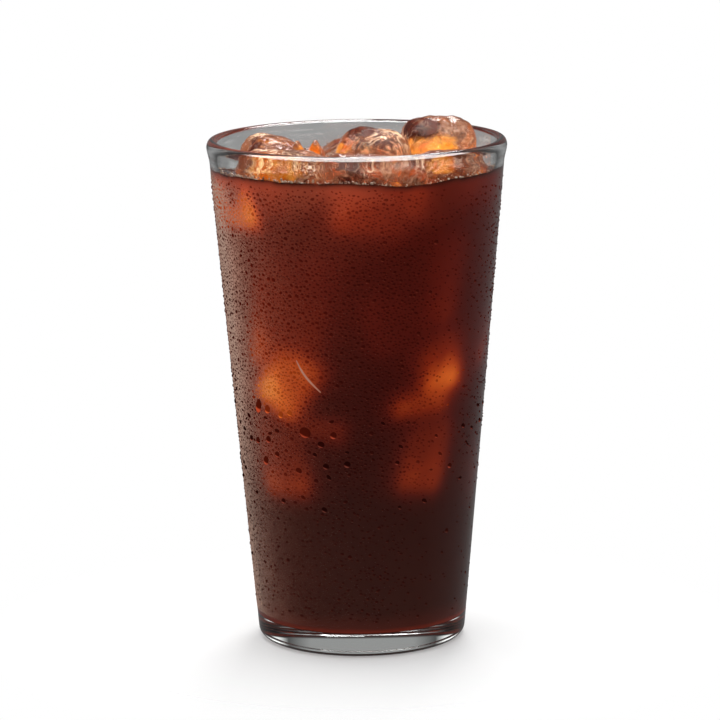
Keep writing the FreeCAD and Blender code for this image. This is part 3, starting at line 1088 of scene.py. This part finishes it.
def makeBubbles():
    chance = random.Random(bubbles["seed"])
    deselectAll()
    bpy.ops.mesh.primitive_uv_sphere_add(segments=8, ring_count=6, radius=1.0, location=(0, 0, 0))
    model = bpy.context.object
    shape = vertexPlaces(model)
    blocks = []
    while len(blocks) < bubbles["count"]:
        front = chance.uniform(-180, 180)
        thick = 0.25
        for more, place, wide in bubbles["clusters"]:
            thick += more * math.exp(-((front - place) / wide) ** 2)
        low, high = bubbles["sizes"]
        radius = (low + (high - low) * chance.random() ** 1.6) * mm
        drop, draw = chance.gauss(0.0, bubbles["spread"]), chance.random()
        if draw > thick:
            continue
        angle = math.radians(front)
        height = drink["level"] + drink["climb"] + lineRise(angle) + (drop + 0.1) * mm
        reach = innerRadius(height) - radius * bubbles["sink"]
        place = np.array([-math.sin(angle) * reach, -math.cos(angle) * reach, height])
        blocks.append(shape * radius + place)
    return joinCopies("line_bubbles", model, blocks)


def bubbleFinish():
    material, board = makeFinish("froth")
    tone = board.ramp(board.noise(500, 2.0), [(0.35, (0.40, 0.18, 0.10)), (0.6, (0.85, 0.66, 0.50))])
    closeFinish(board, {"Base Color": tone, "Roughness": 0.05 + board.noise(300, 1.0) * 0.05, "IOR": 1.33,
                        "Transmission Weight": 0.35})
    return material


finishPiece(makeBubbles(), bubbleFinish(), "coffee")


def makeMist():
    # a thin shell just outside the wall
    deselectAll()
    radius = outerRadius(mist["low"]) + mist["lift"]
    bpy.ops.mesh.primitive_circle_add(vertices=mist["segments"], radius=radius,
                                      location=(0, 0, mist["low"]))
    obj = bpy.context.object
    obj.name = "mist_veil"
    bpy.ops.object.transform_apply(location=True, rotation=True, scale=True)
    bpy.ops.object.mode_set(mode="EDIT")
    bpy.ops.mesh.select_all(action="SELECT")
    steps = int((mist["high"] - mist["low"]) / mist["step"])
    rise = (mist["high"] - mist["low"]) / steps
    for i in range(steps):
        before, after = outerRadius(mist["low"] + i * rise), outerRadius(mist["low"] + (i + 1) * rise)
        grow = (after + mist["lift"]) / (before + mist["lift"])
        bpy.ops.mesh.extrude_edges_move(TRANSFORM_OT_translate={"value": (0, 0, rise)})
        bpy.ops.transform.resize(value=(grow, grow, 1))
    bpy.ops.mesh.select_all(action="SELECT")
    bpy.ops.mesh.normals_make_consistent(inside=False)
    bpy.ops.object.mode_set(mode="OBJECT")
    bpy.ops.object.shade_smooth()
    places = vertexPlaces(obj)
    angles = np.arctan2(-places[:, 0], -places[:, 1])
    setAttribute(obj, "wet", wetness(angles, places[:, 2]))
    return obj


def mistFinish():
    material, board = makeFinish("condensation mist")
    wet = board.attribute("wet")
    patches = board.noise(48, 3.0, 0.6, 0.8)
    grain = board.noise(900, 2.0, 0.7)
    sheen = board.add("LayerWeight", {}, {"Blend": 0.5}, "Facing") ** 2
    thick = mist["thickest"] + sheen * mist["grazing"]
    cell = board.add("TexVoronoi", {}, {"Vector": board.place(), "Scale": 1250}, "Distance")
    pores = cell.above(0.16, 5) * 0.75 + 0.25      # thin where the finest drops have swept it up
    cover = (wet * (0.55 + patches * 0.9) * (0.7 + grain * 0.6) * pores * thick).clamped()
    pale = board.ramp(grain, [(0.3, (0.38, 0.225, 0.17)), (0.7, (0.56, 0.37, 0.29))])
    ruddy = board.ramp(grain, [(0.3, (0.34, 0.10, 0.06)), (0.7, (0.50, 0.20, 0.13))])
    tone = board.mixColours((sheen * 2.2 - 0.12).clamped(), ruddy, pale)
    closeFinish(board, {"Base Color": tone, "Roughness": 1.0, "Specular IOR Level": 0.0, "Alpha": cover})
    return material


finishPiece(makeMist(), mistFinish(), "glass")
# the sunk ice has given its glow, and nothing else of it shows
for piece, bright in sunkPieces:
    bpy.data.objects.remove(piece)

# the camera, the light and the floor
studio = {
    "eye": (0.27 * mm, -1088.7 * mm, 291.7 * mm),
    "lookDown": 10.864,      # degrees
    "lean": 0.6243,          # degrees
    "lens": 187.62,
    "floorRadius": 0.12,
    "floorKeep": 0.75,       # how solid the floor is round the foot, and where it fades out
    "fadeFrom": 0.034,
    "fadeLength": 0.08,
    "seenGrey": 0.28,        # how bright the backdrop is through the glass
    "strips": 1.8,           # how bright the strip lights at the sides are through the glass
    "softbox": 15.0,         # how bright the large front-top softbox is in reflections
    "light": 0.75,           # how bright the world is as a light
    "lamps": {               # place, target, size, power
        "overhead": ((-0.05, 0.1, 0.9), (0, 0, 0.1), (0.6, 0.6), 5.0),
        "back": ((0.12, 0.62, 0.78), (0, 0, 0.14), (0.3, 0.25), 4.0),
    },
}


def makeCamera():
    camera = bpy.data.cameras.new("camera")
    camera.lens, camera.sensor_width = studio["lens"], 36
    camera.clip_start, camera.clip_end = 0.01, 20
    obj = bpy.data.objects.new("camera", camera)
    bpy.context.scene.collection.objects.link(obj)
    turn = Matrix.Rotation(math.radians(90 - studio["lookDown"]), 4, "X")
    lean = Matrix.Rotation(-math.radians(studio["lean"]), 4, "Z")
    obj.matrix_world = Matrix.Translation(studio["eye"]) @ turn @ lean
    bpy.context.scene.camera = obj


def makeWorld():
    world = bpy.data.worlds.new("studio")
    bpy.context.scene.world = world
    board = Board(world)
    path = board.tree.nodes.new("ShaderNodeLightPath")
    seen = {name: Wire(board, path.outputs[name]) for name in
            ("Is Camera Ray", "Is Glossy Ray", "Is Transmission Ray", "Diffuse Depth")}
    camera, refracted = seen["Is Camera Ray"], seen["Is Transmission Ray"]
    direct = 1 - seen["Diffuse Depth"].clamped()
    through = ((seen["Is Glossy Ray"] + refracted) * direct).clamped()
    direction = board.add("TexCoord", {}, {}, "Generated")
    across, back, up = [board.axis(number, direction) for number in range(3)]
    sideways = board.add("Math", {"operation": "ABSOLUTE"}, {0: across})
    behind = ((back + 0.35) * 0.8).clamped()
    # what shows in reflections: dark in front, dim behind, and a softbox overhead
    softbox = up.above(0.42, 8) * back.below(0.30, 6) * studio["softbox"]
    mirrored = 0.03 + behind * 0.16 + softbox
    # what shows through the glass: a grey card with a dark band above it, dark sides and strip lights
    overhead = up.above(0.80, 5)
    darkBand = up.above(0.34, 8) * (1 - overhead)
    card = (0.05 + behind * studio["seenGrey"]) * (1 - darkBand * 0.8) + overhead * 0.8
    strips = sideways.above(0.55, 8) * sideways.below(0.88, 8) * up.above(0.05, 8) * up.below(0.34, 8)
    card = card * (1 - sideways.above(0.35, 4) * 0.88) + strips * studio["strips"]
    shown = mirrored * (1 - refracted) + card * refracted
    level = studio["light"] * (1 - through) + shown * through
    strength = level * (1 - camera) + camera      # the camera itself sees white
    board.close(board.shader("Background", {"Color": (1, 1, 1, 1), "Strength": strength}), "OutputWorld")


def makeFloor():
    # a pale disc that keeps the shadow near the foot and fades out into white
    deselectAll()
    bpy.ops.mesh.primitive_circle_add(vertices=96, radius=studio["floorRadius"], fill_type="NGON",
                                      location=(0, 0, -0.02 * mm))
    floor = bpy.context.object
    floor.name = "studio_floor"
    bpy.ops.object.transform_apply(location=True, rotation=True, scale=True)
    material, board = makeFinish("pale floor")
    out = board.add("VectorMath", {"operation": "LENGTH"}, {0: board.place()}, "Value")
    faded = ((out - studio["fadeFrom"]) / studio["fadeLength"]).clamped()
    keep = studio["floorKeep"] - faded * studio["floorKeep"]
    pale = board.shader("BsdfDiffuse", {"Color": (0.86, 0.86, 0.86, 1)})
    clear = board.shader("BsdfTransparent", {"Color": (1, 1, 1, 1)})
    board.close(board.blendShaders(keep, clear, pale))
    floor.data.materials.append(material)
    floor.visible_glossy = False


def addLamp(name, place, target, size, power):
    lamp = bpy.data.lights.new(name, "AREA")
    lamp.shape, lamp.size, lamp.size_y = "RECTANGLE", size[0], size[1]
    lamp.energy = power
    obj = bpy.data.objects.new(name, lamp)
    bpy.context.scene.collection.objects.link(obj)
    obj.location = place
    obj.rotation_euler = (Vector(target) - Vector(place)).to_track_quat("-Z", "Y").to_euler()


makeCamera()
makeWorld()
makeFloor()
for name, settings in studio["lamps"].items():
    addLamp(name, *settings)
scene = bpy.context.scene
scene.view_settings.view_transform = "Standard"
for kind, bounces in {"max_bounces": 20, "transmission_bounces": 16, "transparent_max_bounces": 16,
                      "glossy_bounces": 6, "diffuse_bounces": 3}.items():
    setattr(scene.cycles, kind, bounces)
print("studio set")
